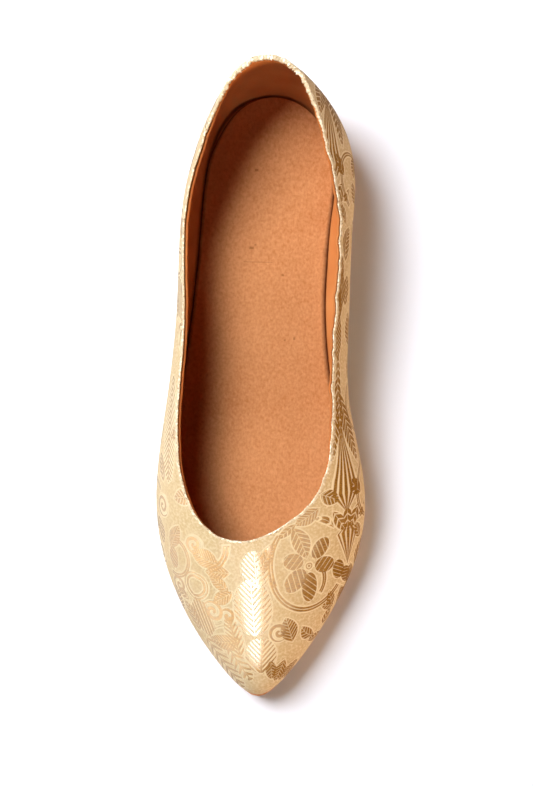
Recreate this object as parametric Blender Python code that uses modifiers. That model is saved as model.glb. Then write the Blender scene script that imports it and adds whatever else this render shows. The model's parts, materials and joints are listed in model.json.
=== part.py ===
"""Brocade ballet flat, right shoe: outsole, heel block, insole and a hollow lasted upper.

Frame: metres, +Z up, +Y from heel to toe, +X towards the outer (little toe) side.
The floor is Z = 0, and the origin is under the middle of the shoe's bounding box.

Everything is worked out from the sizes below and from one table of ribs.  A rib is a section of
the upper taken across its wall.  It starts on the edge of the outsole, flares out above it, and
ends at the top line.  Twenty ribs run round the shoe: down the outer side from the back of the
heel to the tip of the toe, then back along the inner side.
"""

from collections import namedtuple

import bmesh
import bpy
import numpy as np

# Driving sizes of the shoe
SOLE_LENGTH = 0.244
BALL_WIDTH = 0.080
BACK_HEIGHT = 0.0605  # floor to the top line behind the heel
INSTEP_HEIGHT = 0.0405  # floor to the top line at the throat
HEEL_HEIGHT = 0.009  # floor to the underside of the outsole at the seat
TOE_SPRING = 0.0052  # floor to the underside of the outsole at the tip
SOLE_THICKNESS = 0.0036
INSOLE_THICKNESS = 0.0024
WALL = 0.0018  # brocade, backing and lining together
GAP = 0.0003  # between pieces that touch

# Places along the sole, as shares of its length
FLAT_FROM, FLAT_TO = 0.575, 0.775  # the forefoot's flat tread
SLOPE_FROM = 0.25  # where the sole starts to fall from seat to forefoot
BREAST = 0.236  # the heel block's front edge on the shoe's middle line
BREAST_TURN = 0.10  # radians, the inner corner of that edge is nearer the toe

# How the upper is lasted
LASTING_MARGIN = 0.0062  # turned in under the insole
CORNER_REACH = 0.0022  # from the feather edge to each end of its rounded corner
SPINE_FROM, SPINE_TO = 0.10, 0.87  # the lasting margin is turned in towards this line
TOE_LEDGE = 0.0011  # the outsole shows beyond the upper at the tip
SOLE_EDGE_ROUND = 0.0006
INSOLE_CLEARANCE = 0.0006  # beside the insole, on top of GAP because the wall is curved there
FILLER_CLEARANCE = 0.0007  # between the insole's filler and the lasting margin round it
INSOLE_DRIFT = 0.0013  # more clearance on the outer side, where the insole is narrower
CORNER_RISE = 0.00005  # how far the corner has risen where the underside of the insole ends

# Fineness of the mesh
STEPS_PER_RIB = 5
WALL_STEPS = 12
CORNER_STEPS = 3
SOLE_STATIONS = 41  # cuts across the outsole, counting both ends
SHARP_ANGLE = np.radians(40)  # edges that turn more than this are real edges

# along and top_along are percent of SOLE_LENGTH from the back of the sole.
# across and top_across are percent of BALL_WIDTH from the heel-to-toe line, outer side positive.
# rise is percent of the way up from INSTEP_HEIGHT to BACK_HEIGHT.
# The four handles are percent of BACK_HEIGHT.  The flare handle leaves the sole outwards and
# upwards, and the tuck handle leaves the top line outwards and downwards.
Rib = namedtuple(
    "Rib",
    "place along across top_along top_across rise flare_out flare_up tuck_out tuck_down",
)
RIBS = [
    Rib("heel back", 0.0, 0.6, -2.9, 0.0, 100.0, 6.0, 16.0, -2.0, 30.0),
    Rib("heel corner, outer", 2.5, 21.3, -0.2, 17.0, 91.0, 5.5, 15.0, 3.5, 30.0),
    Rib("seat, outer", 9.8, 33.2, 9.4, 30.6, 67.0, 4.0, 14.0, 10.0, 30.0),
    Rib("back waist, outer", 23.0, 37.2, 22.5, 40.2, 30.5, 4.0, 13.0, 9.5, 27.0),
    Rib("waist, outer", 37.7, 41.2, 37.4, 39.6, 6.0, 4.0, 13.0, 12.5, 25.0),
    Rib("front waist, outer", 52.5, 48.8, 51.0, 41.6, -4.5, 3.0, 15.0, 13.0, 22.0),
    Rib("joint, outer", 66.4, 54.4, 62.0, 39.9, -6.0, 3.0, 17.0, 16.0, 18.0),
    Rib("ball front, outer", 77.5, 50.2, 68.6, 32.6, -4.5, 2.5, 18.0, 20.0, 14.0),
    Rib("toe side, outer", 86.6, 38.4, 71.9, 23.4, -2.0, 2.0, 18.0, 31.0, 13.0),
    Rib("toe corner, outer", 94.8, 21.6, 73.0, 13.6, 0.0, 1.5, 18.0, 50.0, 13.0),
    Rib("toe tip", 100.0, 0.0, 73.0, 5.0, 0.0, 1.0, 18.0, 62.0, 13.0),
    Rib("toe corner, inner", 95.2, -17.4, 72.2, -2.2, 0.0, 1.5, 18.0, 54.0, 13.0),
    Rib("toe side, inner", 87.0, -32.8, 70.3, -12.4, -2.0, 2.5, 18.0, 39.0, 13.0),
    Rib("ball front, inner", 77.8, -44.4, 66.8, -24.4, -4.5, 6.5, 17.0, 27.0, 14.0),
    Rib("joint, inner", 67.2, -46.8, 60.7, -32.6, -6.0, 10.0, 16.0, 22.5, 18.0),
    Rib("front waist, inner", 54.0, -33.2, 50.0, -34.1, -4.5, 14.5, 13.0, 14.0, 24.0),
    Rib("waist, inner", 37.7, -21.6, 37.4, -34.2, 6.0, 24.0, 12.0, 15.0, 28.0),
    Rib("back waist, inner", 23.0, -24.4, 22.5, -35.7, 30.5, 21.0, 12.0, 12.5, 30.0),
    Rib("seat, inner", 9.8, -28.5, 9.4, -27.3, 67.0, 18.0, 12.0, 18.0, 32.0),
    Rib("heel corner, inner", 2.5, -18.6, -0.2, -15.6, 91.0, 8.0, 14.0, 8.0, 30.0),
]
TOE_RIB = next(i for i, rib in enumerate(RIBS) if rib.place == "toe tip")

# name: base colour, roughness
MATERIALS = {
    "brocade": ((0.78, 0.62, 0.38, 1.0), 0.45),
    "outsole_rubber": ((0.85, 0.42, 0.15, 1.0), 0.6),
    "heel_rubber": ((0.83, 0.40, 0.14, 1.0), 0.6),
    "insole_suede": ((0.50, 0.22, 0.09, 1.0), 0.85),
}


def clear_scene():
    """Removes every object that the file opened with."""
    for obj in list(bpy.data.objects):
        bpy.data.objects.remove(obj, do_unlink=True)


def unit(vectors):
    """Each row scaled to length one."""
    return vectors / np.linalg.norm(vectors, axis=-1, keepdims=True)


def closed_spline(knots, period, values, at):
    """Cubic spline through values at the knots, repeating after period, read at the points `at`."""
    values = np.asarray(values, float)
    count = len(knots)
    step = np.diff(np.append(knots, knots[0] + period))
    before = np.roll(step, 1)
    system = np.zeros((count, count))
    rows = np.arange(count)
    system[rows, rows] = 2 * (before + step)
    system[rows, (rows + 1) % count] += step
    system[rows, (rows - 1) % count] += before
    slope = (np.roll(values, -1, axis=0) - values) / step[:, None]
    bend = np.linalg.solve(system, 6 * (slope - np.roll(slope, 1, axis=0)))
    i = np.searchsorted(knots, at % period, side="right") - 1
    j = (i + 1) % count
    span = step[i][:, None]
    right = ((at % period) - knots[i])[:, None] / span
    left = 1 - right
    curve = (left**3 - left) * bend[i] + (right**3 - right) * bend[j]
    return left * values[i] + right * values[j] + curve * span**2 / 6


def rib_columns():
    """The table's columns in metres, splined to STEPS_PER_RIB samples for each rib."""
    rise_scale = BACK_HEIGHT - INSTEP_HEIGHT
    scales = [SOLE_LENGTH, BALL_WIDTH, SOLE_LENGTH, BALL_WIDTH, rise_scale] + [BACK_HEIGHT] * 4
    table = np.array([rib[1:] for rib in RIBS]) * scales / 100
    edge = table[:, [1, 0]]
    chords = np.linalg.norm(np.roll(edge, -1, axis=0) - edge, axis=1)
    knots = np.append(0, np.cumsum(chords)[:-1])
    shares = np.arange(STEPS_PER_RIB) / STEPS_PER_RIB
    at = (knots[:, None] + chords[:, None] * shares).ravel()
    columns = closed_spline(knots, chords.sum(), table, at)
    return dict(zip(Rib._fields[1:], columns.T, strict=True))


def outward_normals(ring):
    """Unit plan normals of a closed ring that runs from heel to toe along its +X side."""
    tangent = unit(np.roll(ring, -1, axis=0)[:, :2] - np.roll(ring, 1, axis=0)[:, :2])
    return np.column_stack([tangent[:, 1], -tangent[:, 0]])


def inset(ring, distance):
    """The ring moved in by a distance, or by one distance for each point."""
    return ring - outward_normals(ring) * np.reshape(distance, (-1, 1))


def smooth_step(share):
    """0 to 1 with level ends, for shares that may lie outside 0 to 1."""
    share = np.clip(share, 0, 1)
    return share * share * (3 - 2 * share)


def sole_under(y):
    """Height of the outsole's underside: level seat, falling waist, flat forefoot, toe spring."""
    share = y / SOLE_LENGTH
    fall = smooth_step((share - SLOPE_FROM) / (FLAT_FROM - SLOPE_FROM))
    spring = np.clip((share - FLAT_TO) / (1 - FLAT_TO), 0, None) ** 2
    return HEEL_HEIGHT * (1 - fall) + TOE_SPRING * spring


def at_height(ring, above_under):
    """A plan ring as 3-D points, at a height above the outsole's underside."""
    return np.column_stack([ring, sole_under(ring[:, 1]) + above_under])


def sole_outline(columns):
    """The outsole's outline in plan."""
    return np.column_stack([columns["across"], columns["along"]])


def feather_line(columns):
    """The upper's lower edge in plan: the outline, drawn in a little round the tip of the toe."""
    outline = sole_outline(columns)
    towards_tip = smooth_step((columns["along"] / SOLE_LENGTH - 0.86) / 0.14)
    return inset(outline, GAP + (TOE_LEDGE - GAP) * towards_tip)


def turned_in(feather):
    """Unit plan directions from the feather line towards the spine of the sole."""
    along = np.clip(feather[:, 1], SPINE_FROM * SOLE_LENGTH, SPINE_TO * SOLE_LENGTH)
    return unit(np.column_stack([np.zeros_like(along), along]) - feather)


def upper_rows(columns):
    """Outer surface of the upper, as rows of 3-D points from the lasting margin to the top line."""
    feather = feather_line(columns)
    level = SOLE_THICKNESS + GAP
    edge = at_height(feather, level)
    inward = turned_in(feather)
    margin = at_height(feather + inward * LASTING_MARGIN, level)
    corner_in = at_height(feather + inward * CORNER_REACH, level)

    top_height = INSTEP_HEIGHT + columns["rise"]
    top = np.column_stack([columns["top_across"], columns["top_along"], top_height])
    outward = outward_normals(feather)
    flare = np.column_stack([outward * columns["flare_out"][:, None], columns["flare_up"]])
    top_outward = outward_normals(top)
    tuck = np.column_stack([top_outward * columns["tuck_out"][:, None], -columns["tuck_down"]])

    corner_out = edge + unit(flare) * CORNER_REACH
    rows = [margin, corner_in]
    for t in np.arange(1, CORNER_STEPS + 1) / CORNER_STEPS:
        rows.append((1 - t) ** 2 * corner_in + 2 * t * (1 - t) * edge + t * t * corner_out)
    lower, upper = corner_out + flare, top + tuck
    for t in np.arange(1, WALL_STEPS + 1) / WALL_STEPS:
        s = 1 - t
        rows.append(s**3 * corner_out + 3 * s * s * t * lower + 3 * s * t * t * upper + t**3 * top)
    return rows


def ring_inside(rows, depth, above_margin):
    """Plan ring at a depth inside the upper's outer surface and at a height above its margin."""
    grid = np.array(rows)
    along_rib = np.gradient(grid, axis=0)
    around = np.roll(grid, -1, axis=1) - np.roll(grid, 1, axis=1)
    grid = grid - unit(np.cross(around, along_rib)) * depth
    heights = grid[:, :, 2] - rows[0][:, 2]
    plan = grid[:, :, :2]
    over = np.argmax(heights > above_margin, axis=0)
    pick = np.arange(plan.shape[1])
    low, high = heights[over - 1, pick], heights[over, pick]
    share = ((above_margin - low) / (high - low))[:, None]
    return plan[over - 1, pick] * (1 - share) + plan[over, pick] * share


def mesh_object(name, points, faces, material, collection):
    """A smooth-shaded mesh object with one material, linked to a collection."""
    mesh = bpy.data.meshes.new(name)
    mesh.from_pydata([tuple(p) for p in points], [], faces)
    obj = bpy.data.objects.new(name, mesh)
    collection.objects.link(obj)
    mesh.materials.append(material)
    mesh.shade_smooth()
    mesh.set_sharp_from_angle(angle=SHARP_ANGLE)
    return obj


def band_faces(ring_count, around):
    """Quads between each ring and the next, wound so that a rising stack of rings faces out."""
    faces = []
    for k in range(ring_count - 1):
        for i in range(around):
            j = (i + 1) % around
            low, high = k * around, (k + 1) * around
            faces.append((low + i, low + j, high + j, high + i))
    return faces


def rung_faces(first, around, facing_up):
    """Closes a ring with strips between its outer and inner side, from the heel to the toe."""
    faces = []
    for i in range(TOE_RIB * STEPS_PER_RIB):
        outer = [first + i, first + i + 1]
        inner = [first + (around - i - 1) % around, first + (around - i) % around]
        face = list(dict.fromkeys(outer + inner))
        faces.append(face if facing_up else face[::-1])
    return faces


def slab(outline, thickness):
    """A level slab with this outline and thickness, standing on Z = 0."""
    made = bmesh.new()
    face = made.faces.new([made.verts.new((x, y, 0)) for x, y in outline])
    raised = bmesh.ops.extrude_face_region(made, geom=[face])["geom"]
    top = [item for item in raised if isinstance(item, bmesh.types.BMVert)]
    bmesh.ops.translate(made, verts=top, vec=(0, 0, thickness))
    bmesh.ops.recalc_face_normals(made, faces=made.faces[:])
    return made


def everything(made):
    """All the geometry of a bmesh, for the operators that take it in one list."""
    return made.verts[:] + made.edges[:] + made.faces[:]


def finished_slab(name, made, material, collection):
    """Turns a slab into an object whose edges are softened by a Bevel modifier."""
    mesh = bpy.data.meshes.new(name)
    made.to_mesh(mesh)
    made.free()
    obj = bpy.data.objects.new(name, mesh)
    collection.objects.link(obj)
    mesh.materials.append(material)
    mesh.shade_smooth()
    mesh.set_sharp_from_angle(angle=SHARP_ANGLE)
    edges = obj.modifiers.new("soft edges", "BEVEL")
    edges.width = SOLE_EDGE_ROUND
    edges.segments = 2
    edges.limit_method = "ANGLE"
    edges.angle_limit = SHARP_ANGLE
    return obj


def make_outsole(columns, material, collection):
    """The rubber sheet: a slab cut across at even stations, then bent to the last's bottom."""
    made = slab(sole_outline(columns), SOLE_THICKNESS)
    for share in np.linspace(0, 1, SOLE_STATIONS)[1:-1]:
        bmesh.ops.bisect_plane(
            made, geom=everything(made), plane_co=(0, share * SOLE_LENGTH, 0), plane_no=(0, 1, 0)
        )
    for vertex in made.verts:
        vertex.co.z += sole_under(vertex.co.y)
    return finished_slab("outsole", made, material, collection)


def make_heel(columns, material, collection):
    """The heel block: the outsole's outline down to the floor, cut off straight at the breast."""
    made = slab(sole_outline(columns), HEEL_HEIGHT - GAP)
    cut = bmesh.ops.bisect_plane(
        made,
        geom=everything(made),
        plane_co=(0, BREAST * SOLE_LENGTH, 0),
        plane_no=(np.sin(BREAST_TURN), np.cos(BREAST_TURN), 0),
        clear_outer=True,
    )["geom_cut"]
    rim = [item for item in cut if isinstance(item, bmesh.types.BMEdge)]
    bmesh.ops.edgenet_fill(made, edges=rim)
    bmesh.ops.recalc_face_normals(made, faces=made.faces[:])
    return finished_slab("heel", made, material, collection)


def make_insole(rows, material, collection):
    """The insole and its filler: it fills the upper from wall to wall, lies on the lasting margin,
    and steps down inside the margin to the outsole."""
    depth = WALL + GAP
    above_sole = SOLE_THICKNESS + GAP
    filler = inset(rows[0][:, :2], FILLER_CLEARANCE)
    rings = [at_height(filler, above_sole), at_height(filler, above_sole + depth)]
    for share in (0.0, 0.4, 1.0):
        lift = share * INSOLE_THICKNESS
        ring = ring_inside(rows, depth, depth + max(lift, CORNER_RISE))
        clearance = INSOLE_CLEARANCE + INSOLE_DRIFT * np.clip(outward_normals(ring)[:, 0], 0, 1)
        rings.append(at_height(inset(ring, clearance), above_sole + depth + lift))
    around = len(rings[0])
    faces = band_faces(len(rings), around)
    faces += rung_faces(0, around, facing_up=False)
    faces += rung_faces((len(rings) - 1) * around, around, facing_up=True)
    return mesh_object("insole", np.vstack(rings), faces, material, collection)


def make_upper(rows, material, collection):
    """The upper: one lasted skin, given its wall on the inside by Solidify."""
    faces = band_faces(len(rows), len(rows[0]))
    upper = mesh_object("upper", np.vstack(rows), faces, material, collection)
    wall = upper.modifiers.new("wall", "SOLIDIFY")
    wall.thickness = WALL
    wall.offset = -1
    wall.use_even_offset = True
    wall.use_quality_normals = True
    return upper


def make_materials():
    """One Principled material for each entry of MATERIALS."""
    made = {}
    for name, (colour, roughness) in MATERIALS.items():
        material = bpy.data.materials.new(name)
        material.use_nodes = True
        shader = material.node_tree.nodes["Principled BSDF"]
        shader.inputs["Base Color"].default_value = colour
        shader.inputs["Roughness"].default_value = roughness
        shader.inputs["Metallic"].default_value = 0.0
        material.diffuse_color = colour
        made[name] = material
    return made


def centre_on_floor(pieces):
    """Moves the meshes so that the origin is under the middle of their common box."""
    corners = np.array([v.co for piece in pieces for v in piece.data.vertices])
    middle = (corners.min(axis=0) + corners.max(axis=0)) / 2
    for piece in pieces:
        for vertex in piece.data.vertices:
            vertex.co.x -= middle[0]
            vertex.co.y -= middle[1]


def build():
    """Builds the four pieces in a collection named for the shoe."""
    clear_scene()
    shoe = bpy.data.collections.new("ballet_flat")
    bpy.context.scene.collection.children.link(shoe)
    materials = make_materials()
    columns = rib_columns()
    rows = upper_rows(columns)
    centre_on_floor(
        [
            make_outsole(columns, materials["outsole_rubber"], shoe),
            make_heel(columns, materials["heel_rubber"], shoe),
            make_insole(rows, materials["insole_suede"], shoe),
            make_upper(rows, materials["brocade"], shoe),
        ]
    )


build()
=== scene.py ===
"""Looks of a brocade ballet flat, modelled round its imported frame.

The upper is a brocade skin with its top edge folded over, a leather lining and a lining edge. Under the
foot are a suede insole, a ribbed rubber outsole and a ribbed heel. Lengths are in metres, except on the
brocade's flat cloth, which is laid out in millimetres.
"""

from __future__ import annotations

import contextlib
import functools
import json
import logging
import math
from dataclasses import dataclass, field
from enum import Enum
from typing import Any, Callable, ClassVar, Iterable, Iterator, Union

import bmesh
import bpy
import numpy as np
from mathutils import Matrix, Vector
from mathutils.bvhtree import BVHTree
from mathutils.kdtree import KDTree

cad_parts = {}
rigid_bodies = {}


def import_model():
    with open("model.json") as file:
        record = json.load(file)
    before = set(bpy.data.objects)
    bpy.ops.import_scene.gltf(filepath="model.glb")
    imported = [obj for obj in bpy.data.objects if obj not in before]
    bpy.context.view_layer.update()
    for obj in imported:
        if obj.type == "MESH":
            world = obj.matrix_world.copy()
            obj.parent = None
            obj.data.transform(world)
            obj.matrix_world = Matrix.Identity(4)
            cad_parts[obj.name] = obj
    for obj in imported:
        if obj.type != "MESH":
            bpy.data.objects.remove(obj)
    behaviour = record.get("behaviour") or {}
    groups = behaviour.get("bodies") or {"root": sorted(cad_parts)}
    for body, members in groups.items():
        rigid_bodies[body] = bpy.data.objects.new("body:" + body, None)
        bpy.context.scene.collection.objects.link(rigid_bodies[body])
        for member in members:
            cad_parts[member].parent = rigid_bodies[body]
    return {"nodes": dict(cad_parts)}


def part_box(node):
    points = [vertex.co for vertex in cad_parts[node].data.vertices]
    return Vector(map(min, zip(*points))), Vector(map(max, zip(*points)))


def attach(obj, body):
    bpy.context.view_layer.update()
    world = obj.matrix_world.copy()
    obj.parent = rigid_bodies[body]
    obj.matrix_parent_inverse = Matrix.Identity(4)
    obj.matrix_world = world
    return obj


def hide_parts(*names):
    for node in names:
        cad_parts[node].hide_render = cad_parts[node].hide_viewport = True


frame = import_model()

LOG = logging.getLogger("flat")
MM = 0.001
ROOT = "root"
TURN = 2 * math.pi
MERGE_GAP = 1e-6
QUAD_BEND = math.radians(40)
QUAD_SKEW = math.radians(70)
ROUND_ANGLE = 80
LEAST_LENGTH = 1e-12
LEAST_SHARE = 0.001

Colour = tuple[float, float, float, float]
Grade = tuple[float, float]
Shape = Callable[[np.ndarray, np.ndarray], np.ndarray]


class Slot(Enum):
    """The record's material slots."""

    BROCADE = "brocade"
    SUEDE = "insole_suede"
    SOLE = "outsole_rubber"
    HEEL = "heel_rubber"


# ---------------------------------------------------------------- mesh work


def only(obj: bpy.types.Object) -> None:
    """Selects one object and makes it active, with everything else deselected.

    Args:
        obj: The object.
    """
    bpy.ops.object.select_all(action="DESELECT")
    obj.select_set(True)
    bpy.context.view_layer.objects.active = obj


@contextlib.contextmanager
def editing(obj: bpy.types.Object, element: str = "VERT") -> Iterator[None]:
    """Edit mode on one object, with nothing selected.

    Args:
        obj: The object.
        element: What is selected in it: "VERT", "EDGE" or "FACE".

    Yields:
        Once, while edit mode is on.
    """
    only(obj)
    bpy.ops.object.mode_set(mode="EDIT")
    bpy.ops.mesh.select_mode(type=element)
    bpy.ops.mesh.select_all(action="DESELECT")
    yield
    bpy.ops.object.mode_set(mode="OBJECT")


def places(obj: bpy.types.Object, what: str = "co") -> np.ndarray:
    """A vector of each of the mesh's points.

    Args:
        obj: The piece.
        what: "co" for the points' places, "normal" for their normals.

    Returns:
        The vectors, one a row.
    """
    flat = np.zeros(len(obj.data.vertices) * 3)
    obj.data.vertices.foreach_get(what, flat)
    return flat.reshape(-1, 3)


def move_to(obj: bpy.types.Object, points: np.ndarray) -> None:
    """Puts the mesh's points at new places."""
    obj.data.vertices.foreach_set("co", np.ascontiguousarray(points, dtype=float).ravel())
    obj.data.update()


def unit(rows: np.ndarray) -> np.ndarray:
    """Rows scaled to length one."""
    return rows / np.maximum(np.linalg.norm(rows, axis=1, keepdims=True), LEAST_LENGTH)


def ease(value: np.ndarray) -> np.ndarray:
    """A smooth step from 0 to 1 as the value goes from 0 to 1."""
    held = np.clip(value, 0, 1)
    return held * held * (3 - 2 * held)


def stretch(along: np.ndarray, ends: tuple[float, float], fade: float) -> np.ndarray:
    """1 in the middle of a stretch, easing to 0 at its ends.

    Args:
        along: The places.
        ends: Where the stretch begins and ends.
        fade: How far the easing reaches in from each end.

    Returns:
        One share for each place.
    """
    return ease((along - ends[0]) / fade) * ease((ends[1] - along) / fade)


def modify(obj: bpy.types.Object, kind: str, **settings: Any) -> None:
    """Adds one modifier and applies it.

    Args:
        obj: The piece.
        kind: The modifier's type.
        settings: The modifier's properties and their values.
    """
    only(obj)
    modifier = obj.modifiers.new(kind.lower(), kind)
    for name, value in settings.items():
        setattr(modifier, name, value)
    bpy.ops.object.modifier_apply(modifier=modifier.name)


def subdivide(obj: bpy.types.Object, levels: int) -> None:
    """Smooths a mesh by an applied Subdivision Surface."""
    modify(obj, "SUBSURF", levels=levels, render_levels=levels)


def copy_of_node(node: str, name: str) -> bpy.types.Object:
    """A merged copy of a CAD node, for shaping into a visible piece.

    Args:
        node: The CAD node's name.
        name: The new piece's name.

    Returns:
        The copy, with its doubles merged and its triangles joined.
    """
    source = frame["nodes"][node]
    obj = bpy.data.objects.new(name, source.data.copy())
    bpy.context.scene.collection.objects.link(obj)
    obj.data.materials.clear()
    with editing(obj):
        bpy.ops.mesh.select_all(action="SELECT")
        bpy.ops.mesh.remove_doubles(threshold=MERGE_GAP)
        bpy.ops.mesh.tris_convert_to_quads(face_threshold=QUAD_BEND, shape_threshold=QUAD_SKEW)
    return obj


def side_of_node(
    node: str, name: str, angle: float, choose: Callable[[bpy.types.MeshPolygon], float]
) -> bpy.types.Object:
    """One side of a CAD solid as an open sheet, up to the solid's sharp edges.

    Args:
        node: The CAD node's name.
        name: The new piece's name.
        angle: The angle in degrees past which an edge is sharp.
        choose: Scores a face; the side is the one that holds the highest.

    Returns:
        The sheet, its faces turned as on the solid.
    """
    obj = copy_of_node(node, name)
    with editing(obj, "EDGE"):
        bpy.ops.mesh.edges_select_sharp(sharpness=math.radians(angle))
        bpy.ops.mesh.mark_sharp()
    seed = max(obj.data.polygons, key=choose).index
    with editing(obj, "FACE"):
        bpy.ops.object.mode_set(mode="OBJECT")
        obj.data.polygons[seed].select = True
        bpy.ops.object.mode_set(mode="EDIT")
        bpy.ops.mesh.select_linked(delimit={"SHARP"})
        bpy.ops.mesh.select_all(action="INVERT")
        bpy.ops.mesh.delete(type="FACE")
        bpy.ops.mesh.select_all(action="SELECT")
        bpy.ops.mesh.mark_sharp(clear=True)
    return obj


def shade(obj: bpy.types.Object, angle: float) -> None:
    """Smooth shading, with edges sharper than an angle in degrees kept sharp."""
    only(obj)
    bpy.ops.object.shade_smooth_by_angle(angle=math.radians(angle))


def grid_sheet(name: str, columns: int, rows: int, shape: Shape) -> bpy.types.Object:
    """A grid whose points are moved onto a surface.

    Args:
        name: The piece's name.
        columns: Faces along the first direction.
        rows: Faces along the second direction.
        shape: Gives the points at shares 0 to 1 of the first and second directions.

    Returns:
        The sheet.
    """
    bpy.ops.object.select_all(action="DESELECT")
    bpy.ops.mesh.primitive_grid_add(x_subdivisions=columns, y_subdivisions=rows, size=2)
    obj = bpy.context.active_object
    obj.name = obj.data.name = name
    flat = (places(obj)[:, :2] + 1) / 2
    move_to(obj, shape(flat[:, 0], flat[:, 1]))
    return obj


def rolled(name: str, stations: int, rows: int, shape: Shape) -> bpy.types.Object:
    """A grid bent into a closed ring, round in both directions.

    Args:
        name: The piece's name.
        stations: Faces along the ring.
        rows: Faces around it.
        shape: Gives the points at shares 0 to 1 along and around.

    Returns:
        The ring, with its edges merged, its faces outwards and smooth.
    """
    obj = grid_sheet(name, stations, rows, shape)
    with editing(obj):
        bpy.ops.mesh.select_all(action="SELECT")
        bpy.ops.mesh.remove_doubles(threshold=MERGE_GAP)
        bpy.ops.mesh.normals_make_consistent(inside=False)
    shade(obj, ROUND_ANGLE)
    return obj


def dress(obj: bpy.types.Object, finish: Finish, slot: Slot, *nodes: str) -> bpy.types.Object:
    """Gives a piece its finish and rides it on the shoe.

    Args:
        obj: The piece.
        finish: The finish.
        slot: The record's slot that the finish belongs to; not used.
        nodes: The CAD nodes that the piece stands for.

    Returns:
        The piece.
    """
    obj.data.materials.clear()
    obj.data.materials.append(finish.material())
    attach(obj, ROOT)
    if nodes:
        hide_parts(*nodes)
    return obj


# ---------------------------------------------------------------- shader work


class Value:
    """A number that varies over a surface: one output socket of a node tree."""

    def __init__(self, nodes: Nodes, socket: bpy.types.NodeSocket) -> None:
        """Wraps a socket."""
        self.nodes = nodes
        self.socket = socket

    def math(self, operation: str, *others: Number) -> Value:
        """A Math node on this value and others."""
        inputs = dict(enumerate((self, *others)))
        return self.nodes.value(self.nodes.add("ShaderNodeMath", {"operation": operation}, inputs))

    def __add__(self, other: Number) -> Value:
        """The sum."""
        return self.math("ADD", other)

    def __sub__(self, other: Number) -> Value:
        """The difference."""
        return self.math("SUBTRACT", other)

    def __rsub__(self, other: Number) -> Value:
        """The difference from another number."""
        return self.math("MULTIPLY_ADD", -1.0, other)

    def __mul__(self, other: Number) -> Value:
        """The product."""
        return self.math("MULTIPLY", other)

    def __truediv__(self, other: Number) -> Value:
        """The quotient."""
        return self.math("DIVIDE", other)

    def __pow__(self, other: Number) -> Value:
        """The power."""
        return self.math("POWER", other)

    def __abs__(self) -> Value:
        """The size without the sign."""
        return self.math("ABSOLUTE")

    __radd__ = __add__
    __rmul__ = __mul__

    def lower(self, other: Number) -> Value:
        """The smaller of two values."""
        return self.math("MINIMUM", other)

    def higher(self, other: Number) -> Value:
        """The larger of two values."""
        return self.math("MAXIMUM", other)

    def scaled(self, factor: float, addend: Number) -> Value:
        """The value times a factor plus an addend."""
        return self.math("MULTIPLY_ADD", factor, addend)

    def graded(self, grade: Grade) -> Value:
        """The value times a grade's factor plus its addend, kept between 0 and 1."""
        return self.scaled(*grade).held()

    def wrapped(self, low: float, high: float) -> Value:
        """The value brought between two bounds by whole periods."""
        return self.math("WRAP", high, low)

    def held(self) -> Value:
        """The value kept between 0 and 1."""
        return self.nodes.value(self.nodes.add("ShaderNodeClamp", {}, {"Value": self}))

    def polar(self, along: Value) -> tuple[Value, Value]:
        """Distance and angle of a place, this value being how far it is across an axis.

        Args:
            along: How far the place is along the axis.

        Returns:
            The distance, and the angle from the axis in radians.
        """
        joined = self.nodes.add("ShaderNodeCombineXYZ", {}, {0: self, 1: along}).outputs[0]
        length = self.nodes.add("ShaderNodeVectorMath", {"operation": "LENGTH"}, {0: joined})
        return self.nodes.value(length, "Value"), self.math("ARCTAN2", along)


Number = Union[Value, float]


def deepest(values: Iterable[Value]) -> Value:
    """The largest of several values."""
    return functools.reduce(Value.higher, values)


@dataclass(frozen=True)
class Grain:
    """A noise: its cells for each unit of its place, its octaves and a scale along each axis before it."""

    cells: float
    octaves: float
    grow: tuple[float, float, float] | None = None


@dataclass(frozen=True)
class Relief:
    """A bump: the distance in metres that a height of 1 stands for, and its strength."""

    distance: float
    strength: float


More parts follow.
